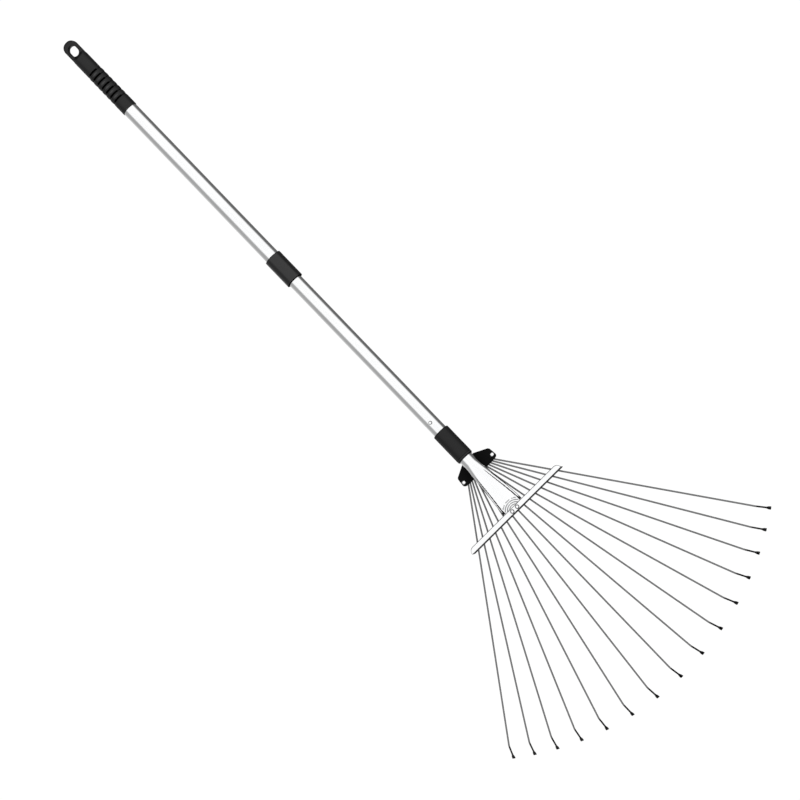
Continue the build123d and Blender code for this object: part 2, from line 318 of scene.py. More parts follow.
def plastic(name, base, rough, grain=1400.0, bump=0.25, dist=0.00006, light=None, spec=0.5):
    """Moulded satin plastic: spark-eroded grain, flow clouds, scuffed high spots; painted highlight and painted shade
    from point attributes.
    """
    m = Mat(name)
    g = m.noise(m.obj, grain, 3.0, 0.6)
    cloud = m.noise(m.mapping((30, 60, 60)), 1.0, 3.0)
    scuff = m.noise(m.mapping((160, 700, 700)), 1.0, 5.0, 0.7)
    hi = light or tuple(v * 1.9 for v in base)
    c = m.mix(m.mrange(cloud, 0.0, 0.5, 0.35, 0.7), base, tuple(v * 1.25 for v in base))
    c = m.mix(m.mrange(scuff, 0.0, 0.45, 0.6, 0.78), c, hi)
    geo = m.node("ShaderNodeNewGeometry")
    edge = m.mrange(geo.outputs["Pointiness"], 0.0, 0.35, 0.52, 0.6)
    c = m.mix(edge, c, hi)
    cav = m.node("ShaderNodeAttribute", attribute_name="cavity_shade")
    painted_highlight = m.node("ShaderNodeAttribute", attribute_name="painted_highlight")
    # painted highlight: four times lighter where the highlight attribute is set
    c = m.mix(painted_highlight.outputs["Fac"], c, tuple(min(0.9, v * 4.0) for v in base))
    # painted shade: darker, and below less specular, where the shade attribute is set
    c = m.mix(cav.outputs["Fac"], c, tuple(v * 0.25 for v in base))
    m.set("Base Color", c)
    m.set("Roughness", m.mrange(g, rough * 0.88, rough * 1.15, 0.3, 0.7))
    m.set("Specular IOR Level", m.mrange(cav.outputs["Fac"], spec, spec * 0.08, 0.0, 1.0))
    m.set("Normal", m.bump(g, bump, dist, m.bump(cloud, 0.05, 0.0003)))
    return m.m


def paint(name, base, rough):
    """Gloss powder paint: orange peel, dust, thin chipped edges."""
    m = Mat(name)
    peel = m.noise(m.obj, 420.0, 2.0, 0.5)
    dust = m.noise(m.obj, 2600.0, 3.0, 0.7)
    c = m.mix(m.mrange(dust, 0.0, 0.5, 0.62, 0.8), base, tuple(v * 2 + 0.002 for v in base))
    geo = m.node("ShaderNodeNewGeometry")
    c = m.mix(m.mrange(geo.outputs["Pointiness"], 0.0, 0.4, 0.54, 0.62), c, (0.012, 0.012, 0.0125))
    m.set("Base Color", c)
    m.set("Roughness", m.mrange(dust, rough * 0.8, rough * 1.5, 0.35, 0.8))
    m.b.inputs["Specular IOR Level"].default_value = 0.02
    m.set("Normal", m.bump(peel, 0.12, 0.0002))
    return m.m


# dark=: the colour of the painted shade on each steel
M_TUBE = steel("polished_tube", (0.86, 0.865, 0.87), 0.13, dark=(0.018, 0.018, 0.019))
M_BAR = steel("crossbar_steel", (0.86, 0.865, 0.87), 0.16, grain=(1500, 6, 1500), dark=(0.03, 0.03, 0.031))
M_WIRE = steel("tine_wire", (0.20, 0.201, 0.203), 0.30, grain=(120, 120, 900), tint=0.12, dark=(0.014, 0.014, 0.0145))
M_RIVET = steel("rivet_steel", (0.88, 0.88, 0.89), 0.10, grain=(700, 700, 700), tint=0.04, dark=(0.03, 0.03, 0.031))
M_BUTTON = steel("button_steel", (0.85, 0.855, 0.86), 0.12, grain=(900, 900, 900), tint=0.04, dark=(0.03, 0.03, 0.031))
M_INNER = steel("inner_steel", (0.52, 0.525, 0.53), 0.30, tint=0.08)
M_GRIP = plastic("grip_plastic", (0.0035, 0.0035, 0.0037), 0.45, spec=0.34)
M_HEADC = plastic("head_collar_plastic", (0.0045, 0.0045, 0.0047), 0.46, grain=1700.0, bump=0.15, spec=0.28)
M_COLLAR = plastic("collar_plastic", (0.006, 0.006, 0.0063), 0.26, grain=1700.0, bump=0.12, spec=0.45)
M_NYLON = plastic("inner_plastic", (0.62, 0.62, 0.59), 0.45, light=(0.75, 0.75, 0.72))
M_PLATE = paint("plate_black", (0.0014, 0.0014, 0.0015), 0.28)

SLOT = {"polished_tube": M_TUBE, "crossbar_steel": M_BAR, "tine_wire": M_WIRE, "rivet_steel": M_RIVET, "grip_plastic": M_GRIP,
        "collar_plastic": M_COLLAR, "plate_black": M_PLATE, "inner_steel": M_INNER, "inner_plastic": M_NYLON, "button_steel": M_BUTTON}
slot_of = {s["node"]: s["material_slot"] for s in frame["record"]["subparts"]}
for n, o in nodes.items():
    o.data.materials.clear()
    o.data.materials.append(SLOT[slot_of[n]])


def place(ob, body, *replaced, slot=None):
    """Gives a piece its material, its body and the CAD nodes it stands for."""
    s = slot or slot_of[replaced[0]]
    ob.data.materials.clear()
    ob.data.materials.append(SLOT[s])
    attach(ob, body)
    if replaced:
        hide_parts(*replaced)
    return ob


def mark(ob, name, mat, lim=0.5):
    """Second material on the faces where the painted attribute is above a limit."""
    me = ob.data
    at = me.attributes[name].data
    me.materials.append(mat)
    k = len(me.materials) - 1
    for p in me.polygons:
        if sum(at[i].value for i in p.vertices) / len(p.vertices) > lim:
            p.material_index = k
    return ob


# second materials that mark() puts on faces: the dark ones are painted shade, the lighter pad plastic is painted
# highlight
M_LINE = steel("shaded_steel", (0.012, 0.012, 0.0125), 0.35, grain=(300, 300, 300))
M_CRESCENT_SHADE = steel("crescent_shade_steel", (0.30, 0.302, 0.305), 0.30, grain=(300, 300, 300))
M_HOOK_SHADE = steel("hook_shade_steel", (0.035, 0.035, 0.036), 0.35, grain=(200, 200, 900))
M_SHADE_PLASTIC = plastic("shade_plastic", (0.0012, 0.0012, 0.0013), 0.5, spec=0.05)
M_PAD_HIGHLIGHT = plastic("pad_highlight_plastic", (0.009, 0.009, 0.0092), 0.5, spec=0.5)

# ------------------------------------------------------------------ grip ----
X0, X1 = -1120.0, -956.8
G0, GP, NG = -1046.0, 10.6, 7


def grip_radius(x, t=0.0):
    """Outer radius at angle t from the top: a plain neck, ribs with sharp valleys, a plain
    band. On top the ribs become flat pads parted by wide grooves."""
    r = 13.85
    first, last = G0, G0 + GP * (NG - 1)
    top = 1.0 - min(1.0, max(0.0, (abs(t) - radians(33)) / radians(8)))
    if first - 2.4 < x < first:
        return r - 0.50 * (1 - (first - x) / 2.4)
    if first <= x <= last:
        f = ((x - first) % GP) / GP
        side = 13.34 + 0.95 * (sin(pi * f) ** 0.6)
        d = min(f, 1 - f) * GP
        pad = 13.34 + 0.95 * min(1.0, max(0.0, (d - 1.15) / 0.75)) ** 0.7
        return side + (pad - side) * top
    if last < x < last + 3.0:
        return 13.34 + 0.91 * ((x - last) / 3.0) ** 0.6
    if x >= last + 3.0:
        return 14.25
    return r


# painted shade: dark in the grooves between the ribs, wider on top, fainter on the sides
def grip_groove_shade(x, y, z):
    t = abs(atan2(y, z))
    first, last = G0, G0 + GP * (NG - 1)
    if x < first - 2.4 or x > last + 2.4:
        return 0.0
    d = abs((x - first) - GP * round((x - first) / GP))
    lim = 1.9 if t < radians(39) else 0.9
    fade = 1.0 if t < radians(39) else 0.6
    return fade * max(0.0, 1 - max(0.0, d - lim + 0.5) / 0.5)


def grip_pad_highlight(x, y, z):
    """Painted highlight: the pads lighter along their middle on top."""
    t = abs(atan2(y, z))
    first, last = G0, G0 + GP * (NG - 1)
    if first < x < last:
        d = abs((x - first) - GP * (math.floor((x - first) / GP) + 0.5))
        return 0.75 * max(0.0, 1 - d / 2.4) * max(0.0, 1 - t / radians(40))
    return 0.0


def build_grip():
    n = 144
    rings = []
    xs = [-1081.5, -1080, -1078, -1075, -1070, -1062, -1054, -1050]
    xs += [G0 - 2.4 + 0.6 * i for i in range(4)]
    step = GP / 20
    xs += [G0 + step * i for i in range(20 * (NG - 1) + 1)]
    xs += [G0 + GP * (NG - 1) + v for v in (0.5, 1.1, 1.8, 3.0, 6.0, 12.0)]
    xs += [X1 - 0.9, X1 - 0.4, X1 - 0.12]
    # flattened eye blends into the round sleeve: half width w, half height h, squareness e
    eye = []
    cx, hw = X0 + 13.2, 13.2
    for i in range(1, 17):
        a = (pi / 2) * i / 16
        x = cx - hw * cos(a)
        w = hw * sin(a)
        eye.append((x, w, 6.15, 5.0))
    eye += [(x, hw, 6.15, 5.0) for x in (-1104.0, -1101.0, -1098.0, -1095.0, -1092.0)]
    eye += [(-1089.6, 13.2, 6.15, 4.8), (-1088.2, 13.2, 6.6, 4.2), (-1087.0, 13.25, 8.2, 3.2), (-1085.7, 13.35, 10.2, 2.7),
            (-1084.2, 13.5, 12.0, 2.3), (-1082.7, 13.7, 13.2, 2.1)]

    def ring(x, w, h, e):
        pts = []
        for k in range(n):
            t = 2 * pi * k / n
            c, s = cos(t), sin(t)
            pts.append(P(x, w * math.copysign(abs(c) ** (2 / e), c), h * math.copysign(abs(s) ** (2 / e), s)))
        return pts

    for x, w, h, e in eye:
        hh = h
        if x < cx - 1.0:      # rounded rim towards the end of the eye
            f = max(0.0, 1 - ((cx - x) / hw) ** 6)
            hh = max(2.2, h * f ** 0.5)
        rings.append(ring(x, w, hh, e))
    for x in xs:
        cut = (0.35 if x > X1 - 0.2 else 0.12) if x > X1 - 0.5 else 0.0
        pts = []
        for k in range(n):
            t = 2 * pi * k / n
            off = abs((t - pi / 2 + pi) % (2 * pi) - pi)
            r = grip_radius(x, off) - cut
            pts.append(P(x, r * cos(t), r * sin(t)))
        rings.append(pts)
    rings.append(ring(X1, 13.6, 13.6, 2.0))
    # inside: the bore the tube sits in
    rings.append(ring(X1, 13.28, 13.28, 2.0))
    rings.append(ring(-1076.0, 13.28, 13.28, 2.0))
    bm = bmesh.new()
    skin(bm, rings)
    ob = finish_mesh("grip_body", bm, 40)
    # the hanging hole, with a rolled rim
    hx, hl, hwid = -1098.9, 20.0, 15.2
    pts = arc(hx + hl / 2 - hwid / 2, 0, hwid / 2, -90, 90, 24) + arc(hx - hl / 2 + hwid / 2, 0, hwid / 2, 90, 270, 24)
    bm = bmesh.new()
    levels = [(-8.0, 2.4), (-6.2, 1.1), (-5.7, 0.55), (-4.9, 0.15), (-3.8, 0.0), (3.8, 0.0), (4.9, 0.15), (5.7, 0.55), (6.2, 1.1), (8.0, 2.4)]
    rr = []
    for z, g in levels:
        o = arc(hx + hl / 2 - hwid / 2, 0, hwid / 2 + g, -90, 90, 24) + arc(hx - hl / 2 + hwid / 2, 0, hwid / 2 + g, 90, 270, 24)
        rr.append([P(x, y, z) for x, y in o])
    skin(bm, rr)
    cutter = finish_mesh("cutter", bm)
    boolean(ob, cutter)
    shade(ob, 38)
    paint_attr(ob, "cavity_shade", grip_groove_shade)
    paint_attr(ob, "painted_highlight", grip_pad_highlight)
    return ob


grip = place(build_grip(), "handle", "hand_grip")
# painted shade in the grooves, as a dark second material
mark(grip, "cavity_shade", M_SHADE_PLASTIC, 0.5)
# painted highlight on the pads, as a lighter second material
mark(grip, "painted_highlight", M_PAD_HIGHLIGHT, 0.3)

# ----------------------------------------------------------------- tubes ----
place(lathe("upper_tube_skin", [(-1074, 13.2), (-1020, 13.2), (-960, 13.2), (-860, 13.2), (-760, 13.2), (-660, 13.2), (-579.3, 13.2), (-579, 13.0),
                                (-579, 12.7), (-1074, 12.7)], 128), "handle", "upper_tube")


def build_lower():
    """Inner tube. Its lower end is pressed flat: the section goes from a circle to a flat
    oval of the same girth, with a rounded dent where it meets the flat tab."""
    R, W, n = 12.55, 0.7, 160
    girth = 2 * pi * R

    def section(a, b, inset, bulge):
        # stadium: half width a, half height b; the flats bulge a little
        a -= inset
        b = max(b - inset, 0.12)
        pts = []
        flat = max(a - b, 0.0)
        per = 4 * flat + 2 * pi * b
        for k in range(n):
            s = per * (k + 0.5) / n
            if s < flat:
                y, z = s, b
            elif s < flat + pi * b:
                t = (s - flat) / b
                y, z = flat + b * sin(t), b * cos(t)
            elif s < 3 * flat + pi * b:
                y, z = flat - (s - flat - pi * b), -b
            elif s < 3 * flat + 2 * pi * b:
                t = (s - 3 * flat - pi * b) / b
                y, z = -flat - b * sin(t), -b * cos(t)
            else:
                y, z = -flat + (s - 3 * flat - 2 * pi * b), b
            if flat > 0.01 and abs(y) < flat:
                z += math.copysign(bulge * (1 - (y / flat) ** 2), z)
            pts.append((y, z))
        return pts

    secs = [(-749.6, R, R, 0.0), (-700, R, R, 0), (-600, R, R, 0), (-500, R, R, 0), (-400, R, R, 0), (-300, R, R, 0), (-240, R, R, 0), (-216, R, R, 0), (-202, R, R, 0), (-180, R, R, 0), (-140, R, R, 0), (-120, R, R, 0)]
    xa, xb, xc = -114.0, -24.0, -14.0
    for i in range(0, 61):
        f = i / 60
        x = xa + (xb - xa) * f
        a = R + (20.7 - R) * f
        b = max((girth - 4 * a) / (2 * pi - 4), 2.3)
        secs.append((x, a, b, 0.7 * sin(pi * f)))
    # transition into the flat tab, pressed in three shallow steps
    last_b = secs[-1][2]
    for i in range(1, 25):
        f = i / 24
        b = last_b + (0.81 - last_b) * f ** 1.3
        secs.append((xb + (xc - xb) * f, 20.7 + 0.35 * f, b, 0.0))
    secs += [(-13.5, 21.1, 0.8, 0), (-11, 21.0, 0.8, 0), (-8.2, 20.7, 0.8, 0), (-7.0, 20.2, 0.8, 0), (-6.3, 19.4, 0.78, 0), (-5.95, 18.4, 0.7, 0)]
    def press(x, y, z):
        # rings of the press tool round the rivets
        if z <= 0.0 or x < -30 or x > -13.6:
            return z
        d = sqrt((x + 5.0) ** 2 + (y * 0.62) ** 2)
        w = min(1.0, max(0.0, (d - 9.0) / 1.5)) * min(1.0, max(0.0, (21.0 - d) / 1.5))
        return z - 0.34 * w * (0.5 - 0.5 * cos(2 * pi * (d - 9.0) / 3.4))

    outer = [[P(x, y, press(x, y, z)) for y, z in section(a, b, 0, bu)] for x, a, b, bu in secs]
    inner = [[P(x, y, z) for y, z in section(a, b, W, bu)] for x, a, b, bu in secs if x < -27]
    bm = bmesh.new()
    vo = skin(bm, outer, cap0=False, cap1=True)
    vi = skin(bm, inner, cap0=False, cap1=True)
    m = len(vo[0])
    for i in range(m):
        j = (i + 1) % m
        bm.faces.new((vo[0][i], vo[0][j], vi[0][j], vi[0][i]))
    ob = finish_mesh("lower_tube_skin", bm, 30)
    hole = lathe("cutter", [(5.0, 0.0), (5.0, 3.2), (14.5, 3.2), (14.5, 0.0)], 48, axis="Z", at=(-209.0, 0.0))
    boolean(ob, hole)
    shade(ob, 30)

    def flare_edge_shade(x, y, z):
        # painted shade: dark lines along the edge between the flare's top and its rolled sides, and along the sides'
        # outer edge
        if x < -112 or x > -13.8:
            return 0.0
        f = min(1.0, max(0.0, (x + 112.0) / 88.0))
        half = R + (20.7 - R) * f
        high = max((girth - 4 * half) / (2 * pi - 4), 2.3)
        fade = min(1.0, f * 2.5)
        v = 0.0
        if z > 0:
            w = 0.6 + 0.9 * f
            v = fade * min(1.0, max(0.0, 2.0 - 2.0 * abs(abs(y) - (7.0 + 10.6 * f)) / w)) * 0.9
        if -0.3 * high < z < 0.7 * high and abs(y) > half - high:
            v = max(v, min(1.0, f * 1.6) * 0.85)
        return v

    def rings(x, y, z):
        # painted shade: grey crescents round the rivets, where the flare draws in
        if z < 0 or x < -32 or x > -13.4:
            return 0.0
        d = sqrt((x + 8.3) ** 2 + (y * 0.85) ** 2)
        if d < 7.0 or d > 20.0 or abs(y) > 15.5:
            return 0.0
        return 1.0 if (d - 7.0) % 3.4 < 1.9 else 0.0

    paint_attr(ob, "rings", rings)
    return paint_attr(ob, "heat", flare_edge_shade)


pole = place(build_lower(), "pole", "lower_tube")
# painted shade on the flare as second materials: grey crescents, dark edge lines
mark(pole, "rings", M_CRESCENT_SHADE, 0.5)
mark(pole, "heat", M_LINE, 0.5)

# --------------------------------------------------------------- collars ----
def rounded(x0, x1, r, rin, c0, c1, lip1=0.0):
    """Sleeve outline with rounded ends c0 and c1."""
    pts = [(x0, rin)]
    k = 6
    for i in range(k + 1):
        a = pi / 2 * i / k
        pts.append((x0 + c0 - c0 * cos(a), r - c0 + c0 * sin(a)))
    pts += [(x0 + c0 + 0.6, r), (x1 - c1 - 0.6, r)]
    for i in range(k + 1):
        a = pi / 2 * i / k
        pts.append((x1 - c1 + c1 * sin(a), r - c1 + c1 * cos(a)))
    pts.append((x1, rin))
    return pts


pr = rounded(-599.5, -544.0, 15.9, 14.28, 0.45, 0.5)[:-1]
pr += [(-544.0, 13.0), (-544.4, 12.95), (-548.8, 12.95), (-548.8, 13.1), (-561.0, 14.1), (-564.5, 14.28)]
ob = lathe("handle_collar_skin", pr, 128, sharp=30)
# painted shade: the collar's two end rims dark, also as a dark second material
paint_attr(ob, "cavity_shade", lambda x, y, z: 1.0 if (x < -599.0 or x > -544.6) else 0.0)
mark(place(ob, "handle_collar", "handle_lock_collar"), "cavity_shade", M_SHADE_PLASTIC, 0.6)

pr = rounded(-188.0, -131.4, 15.4, 14.0, 1.6, 0.35)[:-1]
pr += [(-131.4, 14.75), (-130.8, 14.75), (-130.8, 15.15), (-130.6, 15.35), (-129.0, 15.35), (-128.8, 15.15), (-128.8, 14.5), (-127.0, 14.5), (-127.0, 14.0)]
ob = lathe("head_collar_skin", pr, 128, sharp=30)
# painted shade at the lower end, in the groove and on the stepped end; painted highlight on the raised ring between
# them
paint_attr(ob, "cavity_shade", lambda x, y, z: 1.0 if (x < -187.0 or -131.45 < x < -130.85 or x > -128.75) else 0.0)
paint_attr(ob, "painted_highlight", lambda x, y, z: 1.0 if -130.82 < x < -128.85 else 0.0)
place(ob, "head_collar", "head_collar")
ob.data.materials.clear()
ob.data.materials.append(M_HEADC)
mark(ob, "cavity_shade", M_SHADE_PLASTIC, 0.6)

# ------------------------------------------------------------------- rivets and button ----
def dome_profile(z0, r, h, up=1, n=10):
    rim = 0.22 * h
    cap = h - rim
    rs = (r * r + cap * cap) / (2 * cap)
    a = atan2(r, rs - cap)
    pts = [(z0, 0.0), (z0, r - 0.12), (z0 + up * 0.1, r)]
    pts += [(z0 + up * (rim + cap - rs + rs * cos(a * (1 - i / n))), rs * sin(a * (1 - i / n))) for i in range(n)]
    pts += [(z0 + up * h, 0.0)]
    return pts


def join(name, obs):
    bm = bmesh.new()
    for o in obs:
        bm.from_mesh(o.data)
        bpy.data.objects.remove(o)
    return shade(finish_mesh(name, bm, 32), 32)


def rivet(x, y, z_head, r, h, z_tail, rt, ht):
    pr = dome_profile(z_head, r, h)
    body = [(z_head, 2.0), (z_tail, 2.0), (z_tail, rt - 0.25), (z_tail - 0.25, rt), (z_tail - ht + 0.3, rt - 0.1), (z_tail - ht, rt - 0.6), (z_tail - ht, 0.0)]
    return lathe("r", list(reversed(pr[1:])) + body, 48, axis="Z", at=(x, y), sharp=32)


z_top = -12.89
place(join("ear_rivets", [rivet(-101.5, s * 33.5, z_top, 3.3, 1.7, -15.9, 3.0, 1.25) for s in (-1, 1)]), "head_slider", "root_plate_rivets")
ob = join("bar_rivets", [rivet(-8.3, s * 5.75, 2.31, 3.6, 1.7, -0.81, 2.6, 1.25) for s in (-1, 1)])
# painted shade: a dark ring round each rivet head, also as a dark second material
paint_attr(ob, "heat", lambda x, y, z: (sqrt((x + 8.3) ** 2 + (abs(y) - 5.75) ** 2) - 1.9) / 0.5)
mark(place(ob, "pole", "crossbar_rivets"), "heat", M_LINE, 0.5)

# button with a domed top
pr = [(8.0, 0.0), (8.0, 4.1), (8.1, 4.2), (8.9, 4.2), (9.0, 4.1), (9.0, 3.1), (12.85, 3.1)] + [(12.85 + 0.9 * sin(a), 2.2 + 0.9 * cos(a)) for a in [pi / 2 * i / 6 for i in range(1, 7)]] + [(13.75, 1.1), (13.75, 0.0)]
ob = lathe("button_skin", pr, 48, axis="Z", at=(-209.0, 0.0), sharp=40)
# painted shade: a dark ring round the button's dome, also as a dark second material
paint_attr(ob, "heat", lambda x, y, z: (sqrt((x + 209.0) ** 2 + y * y) - 1.6) / 0.5)
mark(place(ob, "button", "snap_button"), "heat", M_LINE, 0.5)

# ----------------------------------------------------------------- tines ----
PITCH, CONV, FAN_R, ROOT_X, Z_TINE, TD = 13.98, 136.5, 493.1, -98.5, -15.6, 2.5
BAR_X, SLOT_X = -3.9, -4.65
ROOT_P = PITCH * (CONV + ROOT_X) / CONV
HOOK_L, HOOK_A, HOOK_R, SP_L, SP_W, SP_T, PIN_L, PIN_R = 34.5, radians(46.5), 7.0, 11.0, 5.8, 1.1, 4.1, 1.6


def tine_angle(k, s=0.0):
    return atan2(k * PITCH * (CONV + SLOT_X) / CONV - k * ROOT_P, SLOT_X - ROOT_X + s)


def build_tine(k, name):
    a = tine_angle(k)
    ln = FAN_R - (CONV + ROOT_X) / cos(a)
    tl = HOOK_R * tan(HOOK_A / 2)
    path = []                                    # (along, z, tangent angle, half width, half thickness, squareness, painted shade)
    r = TD / 2 + 0.2
    path.append((0, -PIN_L, pi / 2, r * 0.8, r * 0.8, 2.0, 0))
    path.append((0, -PIN_L + 0.3, pi / 2, r, r, 2.0, 0))
    for i in range(9):
        t = (pi / 2) * i / 8
        path.append((PIN_R - PIN_R * cos(t), -PIN_R + PIN_R * sin(t), pi / 2 - t, r, r, 2.0, 0))
    m = 26
    for i in range(1, m):
        path.append((PIN_R + (ln - tl - PIN_R) * i / m, 0, 0, r, r, 2.0, 0))
    for i in range(17):
        t = HOOK_A * i / 16
        path.append((ln - tl + HOOK_R * sin(t), -HOOK_R * (1 - cos(t)), -t, r, r, 2.0, 0.35 * i / 16))
    x4, z4 = ln - tl + HOOK_R * sin(HOOK_A), -HOOK_R * (1 - cos(HOOK_A))
    lst = HOOK_L - tl - SP_L
    dx, dz = cos(HOOK_A), -sin(HOOK_A)
    for i in range(1, 7):
        s = lst * i / 6
        path.append((x4 + dx * s, z4 + dz * s, -HOOK_A, r, r, 2.0, 0.35 + 0.5 * i / 6))
    for i in range(1, 15):
        f = i / 14
        s = lst + SP_L * f
        e = f * f * (3 - 2 * f)
        g = min(1.0, f / 0.62)
        g = g * g * (3 - 2 * g)
        hw = r + (SP_W / 2 - r) * (0.35 * f + 0.65 * g) if f < 1 else SP_W / 2
        ht = r + (SP_T / 2 - r) * (1 - (1 - min(1, f / 0.55)) ** 2)
        if f > 0.93:
            hw -= 0.25 * ((f - 0.93) / 0.07) ** 2
        path.append((x4 + dx * s, z4 + dz * s, -HOOK_A, hw, ht, 2.0 + 1.6 * g, 0.85 + 0.15 * f))
    n = 20
    rings, heat = [], []
    ca, sa = cos(a), sin(a)
    for x, z, t, hw, ht, e, hh in path:
        ring = []
        for j in range(n):
            q = 2 * pi * j / n
            c, s = cos(q), sin(q)
            y = hw * math.copysign(abs(c) ** (2 / e), c)
            v = ht * math.copysign(abs(s) ** (2 / e), s)
            lx, lz = x - sin(t) * v, z + cos(t) * v
            ring.append(P(ROOT_X + ca * lx - sa * y, k * ROOT_P + sa * lx + ca * y, Z_TINE + lz))
        rings.append(ring)
        heat += [hh] * n
    bm = bmesh.new()
    skin(bm, rings)
    bmesh.ops.recalc_face_normals(bm, faces=bm.faces)
    me = bpy.data.meshes.new(name)
    bm.to_mesh(me)
    bm.free()
    at = me.attributes.new("heat", "FLOAT", "POINT")
    at.data.foreach_set("value", heat)
    ob = bpy.data.objects.new(name, me)
    scene.collection.objects.link(ob)
    for p in me.polygons:
        p.use_smooth = True
    for p in me.polygons:
        if len(p.vertices) > 4:
            p.use_smooth = False
    return ob


for i in range(15):
    n = "tine_%02d" % (i + 1)
    body = "head_slider" if i == 7 else n
    # painted shade: the hooks and flattened tips darker, as a dark second material
    mark(place(build_tine(7 - i, n + "_wire"), body, n), "heat", M_HOOK_SHADE, 0.3)

# -------------------------------------------------------------- crossbar ----
def build_bar():
    """Folded strip: a rounded fold along the front, softened edges all round, a slot per tine."""
    depth, half, t, top, low, rr = 9.5, 104.6, 1.5, 2.3, -20.2, 9.0
    stations = [half, half - 0.12, half - 0.35, half - 0.7, half - 1.1]
    stations += [half - rr + rr * sin(radians(90 - 6 * i)) for i in range(1, 15)]
    stations = sorted({round(v, 4) for v in stations if v > half - rr + 0.05}, reverse=True)
    ys = [v for v in stations] + [half - rr, 80, 60, 40, 20, 0, -20, -40, -60, -80, -(half - rr)] + [-v for v in reversed(stations)]
    rings = []
    for y in ys:
        e = abs(y) - (half - rr)
        xb = BAR_X - depth + (rr - sqrt(max(rr * rr - e * e, 0.0)) if e > 0 else 0.0)
        xb = min(xb, BAR_X - t - 2.2)
        c = 0.45 * max(0.0, 1 - (half - abs(y)) / 0.45)      # softened end edge
        b = 0.5
        zl = low + (3.0 - sqrt(max(9.0 - (abs(y) - half + 3.0) ** 2, 0.0)) if abs(y) > half - 3.0 else 0.0)
        pts = [(xb + c, top - b - c * 0.3), (xb + b * 0.3 + c, top - b * 0.3 - c), (xb + b + c, top - c), (xb + 0.95 + c * 0.5, top - c), (xb + 1.35 + c * 0.3, top - c), (BAR_X - 1.95, top - c)]
        pts += [(BAR_X - 1.5 + (1.5 - c) * sin(q), top - 1.5 + (1.5 - c) * cos(q)) for q in [radians(90 * i / 6) for i in range(7)]]
        pts += [(BAR_X - c, zl + 0.45), (BAR_X - 0.15 - c, zl + 0.12), (BAR_X - 0.5, zl + c), (BAR_X - 1.0, zl + c), (BAR_X - t + 0.12 + c, zl + 0.12), (BAR_X - t + c, zl + 0.45)]
        pts += [(BAR_X - t + c, top - t - 0.35 + c), (BAR_X - t - 0.35 + c * 0.5, top - t + c), (xb + 0.4 + c, top - t + c), (xb + 0.1 + c, top - t + 0.12 + c)]
        rings.append([P(x, y, z) for x, z in pts])
    bm = bmesh.new()
    skin(bm, rings)
    ob = finish_mesh("crossbar_skin", bm, 40)
    bm = bmesh.new()
    for k in range(-7, 8):
        lim = []
        if k:
            a0, a1, best = tine_angle(k), tine_angle(k, 80.0), None
            for i in range(61):
                c = (a0 - a1) / 80.0 * (1 + 0.005 * i)
                dev = max(abs((tan(a0 - c * s) - tan(tine_angle(k, s))) * (SLOT_X - ROOT_X + s)) for s in [2.0 * j for j in range(41)])
                if best is None or dev < best[0]:
                    best = (dev, c)
            c = best[1]
        else:
            c = 0.0
        for j in range(41):
            sj = 2.0 * j
            a = tine_angle(k) - c * sj
            for xf in (BAR_X - 1.5, BAR_X):
                y = k * ROOT_P + tan(a) * (xf - ROOT_X + sj)
                lim += [y - TD / 2 / cos(a), y + TD / 2 / cos(a)]
        y0, y1, h = min(lim) - 0.35, max(lim) + 0.35, (TD + 0.7) / 2
        o = arc(y1 - 0.9, Z_TINE + h - 0.9, 0.9, 0, 90, 5) + arc(y0 + 0.9, Z_TINE + h - 0.9, 0.9, 90, 180, 5)
        o += arc(y0 + 0.9, Z_TINE - h + 0.9, 0.9, 180, 270, 5) + arc(y1 - 0.9, Z_TINE - h + 0.9, 0.9, 270, 360, 5)
        r0 = [bm.verts.new(P(BAR_X + 2.0, y, z)) for y, z in o]
        r1 = [bm.verts.new(P(BAR_X - 4.0, y, z)) for y, z in o]
        for i in range(len(o)):
            j = (i + 1) % len(o)
            bm.faces.new((r0[i], r0[j], r1[j], r1[i]))
        bm.faces.new(r0)
        bm.faces.new(list(reversed(r1)))
    boolean(ob, finish_mesh("cutter", bm))
    shade(ob, 40)

    # painted shade: dark bands on the front fold and face, along the back edge and at the ends
    def line(x, y, z):
        if z < 0.9:
            return 0.85 if x > BAR_X - 0.35 else 0.0
        e = abs(y) - (half - rr)
        xb = BAR_X - depth + (rr - sqrt(max(rr * rr - e * e, 0.0)) if e > 0 else 0.0)
        if x > BAR_X - 0.8 or x < min(xb, BAR_X - t - 2.2) + 1.0 or abs(y) > half - 0.75:
            return 0.85
        return 0.0

    return paint_attr(ob, "heat", line)


mark(place(build_bar(), "pole", "crossbar"), "heat", M_LINE, 0.5)

# -------------------------------------------------------------- stage -------
def plane(name, x0, x1, y0, y1, z):
    me = bpy.data.meshes.new(name)
    me.from_pydata([(x0, y0, z), (x1, y0, z), (x1, y1, z), (x0, y1, z)], [], [(0, 1, 2, 3)])
    ob = bpy.data.objects.new(name, me)
    scene.collection.objects.link(ob)
    return ob


floor = plane("floor", -30, 30, -30, 30, 0.0)
fm = bpy.data.materials.new("floor")
fm.use_nodes = True
nt = fm.node_tree
nt.nodes.clear()
out = nt.nodes.new("ShaderNodeOutputMaterial")
dif = nt.nodes.new("ShaderNodeBsdfDiffuse")
dif.inputs["Color"].default_value = (0.04, 0.04, 0.04, 1)
glow = nt.nodes.new("ShaderNodeEmission")
glow.inputs["Strength"].default_value = 0.99
add = nt.nodes.new("ShaderNodeAddShader")
nt.links.new(dif.outputs[0], add.inputs[0])
nt.links.new(glow.outputs[0], add.inputs[1])
nt.links.new(add.outputs[0], out.inputs["Surface"])
floor.data.materials.append(fm)
floor.visible_glossy = False          # polished metal mirrors the studio's flags, not the sweep

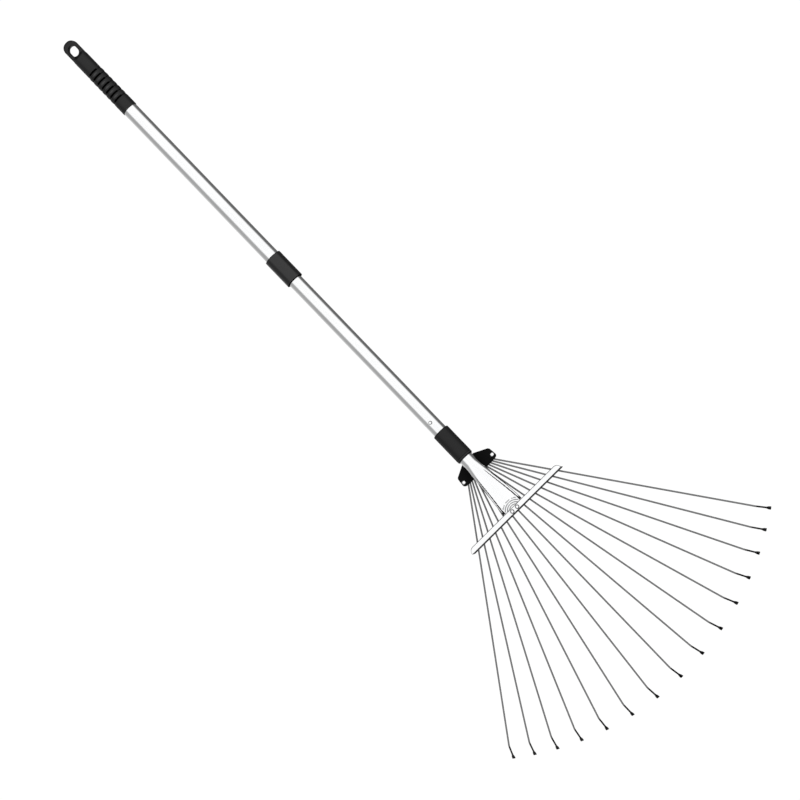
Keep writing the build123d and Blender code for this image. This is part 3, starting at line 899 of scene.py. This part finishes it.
# A light tent: long soft boxes above, grey and black flags low down on either side.
# The level depends only on the angle round the X axis, measured from straight up towards +Y.
TENT = [(-180, 0.16), (-172, 0.17), (-158, 0.80), (-129, 0.70), (-104, 0.50), (-86, 0.44), (-64, 0.44), (-50, 0.52), (-40, 1.15), (-27, 1.2), (-3, 1.2),
        (8, 1.17), (21, 1.2), (63, 1.22), (77, 1.15), (92, 0.27), (105, 0.155), (180, 0.155)]
TOP = 1.25
world = bpy.data.worlds.new("studio")
scene.world = world
world.use_nodes = True
wt = world.node_tree
bg = wt.nodes["Background"]
bg.inputs["Strength"].default_value = TOP
tc = wt.nodes.new("ShaderNodeTexCoord")
sep = wt.nodes.new("ShaderNodeSeparateXYZ")
wt.links.new(tc.outputs["Generated"], sep.inputs[0])
at2 = wt.nodes.new("ShaderNodeMath")
at2.operation = "ARCTAN2"
wt.links.new(sep.outputs["Y"], at2.inputs[0])
wt.links.new(sep.outputs["Z"], at2.inputs[1])
mr = wt.nodes.new("ShaderNodeMapRange")
mr.inputs["From Min"].default_value = -pi
mr.inputs["From Max"].default_value = pi
wt.links.new(at2.outputs[0], mr.inputs["Value"])
rp = wt.nodes.new("ShaderNodeValToRGB")
wt.links.new(mr.outputs["Result"], rp.inputs["Fac"])
el = rp.color_ramp.elements
while len(el) < len(TENT):
    el.new(0.5)
for k, (ang, lev) in enumerate(TENT):
    el[k].position = (ang + 180) / 360
    el[k].color = (lev / TOP, lev / TOP, lev / TOP, 1)
# the studio's far ends, along the handle, are dark
ax = wt.nodes.new("ShaderNodeMath")
ax.operation = "ABSOLUTE"
wt.links.new(sep.outputs["X"], ax.inputs[0])
ends = wt.nodes.new("ShaderNodeMapRange")
ends.inputs["From Min"].default_value = 0.72
ends.inputs["From Max"].default_value = 0.90
ends.inputs["To Min"].default_value = 1.0
ends.inputs["To Max"].default_value = 0.10
wt.links.new(ax.outputs[0], ends.inputs["Value"])
dim = wt.nodes.new("ShaderNodeVectorMath")
dim.operation = "SCALE"
wt.links.new(rp.outputs["Color"], dim.inputs[0])
wt.links.new(ends.outputs["Result"], dim.inputs["Scale"])
wt.links.new(dim.outputs["Vector"], bg.inputs["Color"])
plain = wt.nodes.new("ShaderNodeBackground")
plain.inputs["Color"].default_value = (1, 1, 1, 1)
lp = wt.nodes.new("ShaderNodeLightPath")
mx = wt.nodes.new("ShaderNodeMixShader")
wt.links.new(lp.outputs["Is Camera Ray"], mx.inputs[0])
wt.links.new(bg.outputs[0], mx.inputs[1])
wt.links.new(plain.outputs[0], mx.inputs[2])
wt.links.new(mx.outputs[0], wt.nodes["World Output"].inputs["Surface"])

# --------------------------------------------------------------- camera -----
CAM = (463.8227, 809.0897, 4892.7131)
ROT = ((0.6857330567, 0.6938440354, -0.2198877655),
       (0.7128322777, -0.7012600573, 0.0102213447),
       (-0.1471064880, -0.1637522106, -0.9754716268))
cam = bpy.data.cameras.new("camera")
cam.sensor_width = 36.0
cam.lens = 3000.0 * 36.0 / 800.0
cam.clip_end = 100
co = bpy.data.objects.new("camera", cam)
scene.collection.objects.link(co)
rm = Matrix(ROT).transposed() @ Matrix(((1, 0, 0), (0, -1, 0), (0, 0, -1)))
co.matrix_world = Matrix.Translation(P(*CAM)) @ rm.to_4x4()
scene.camera = co
scene.view_settings.view_transform = "Standard"
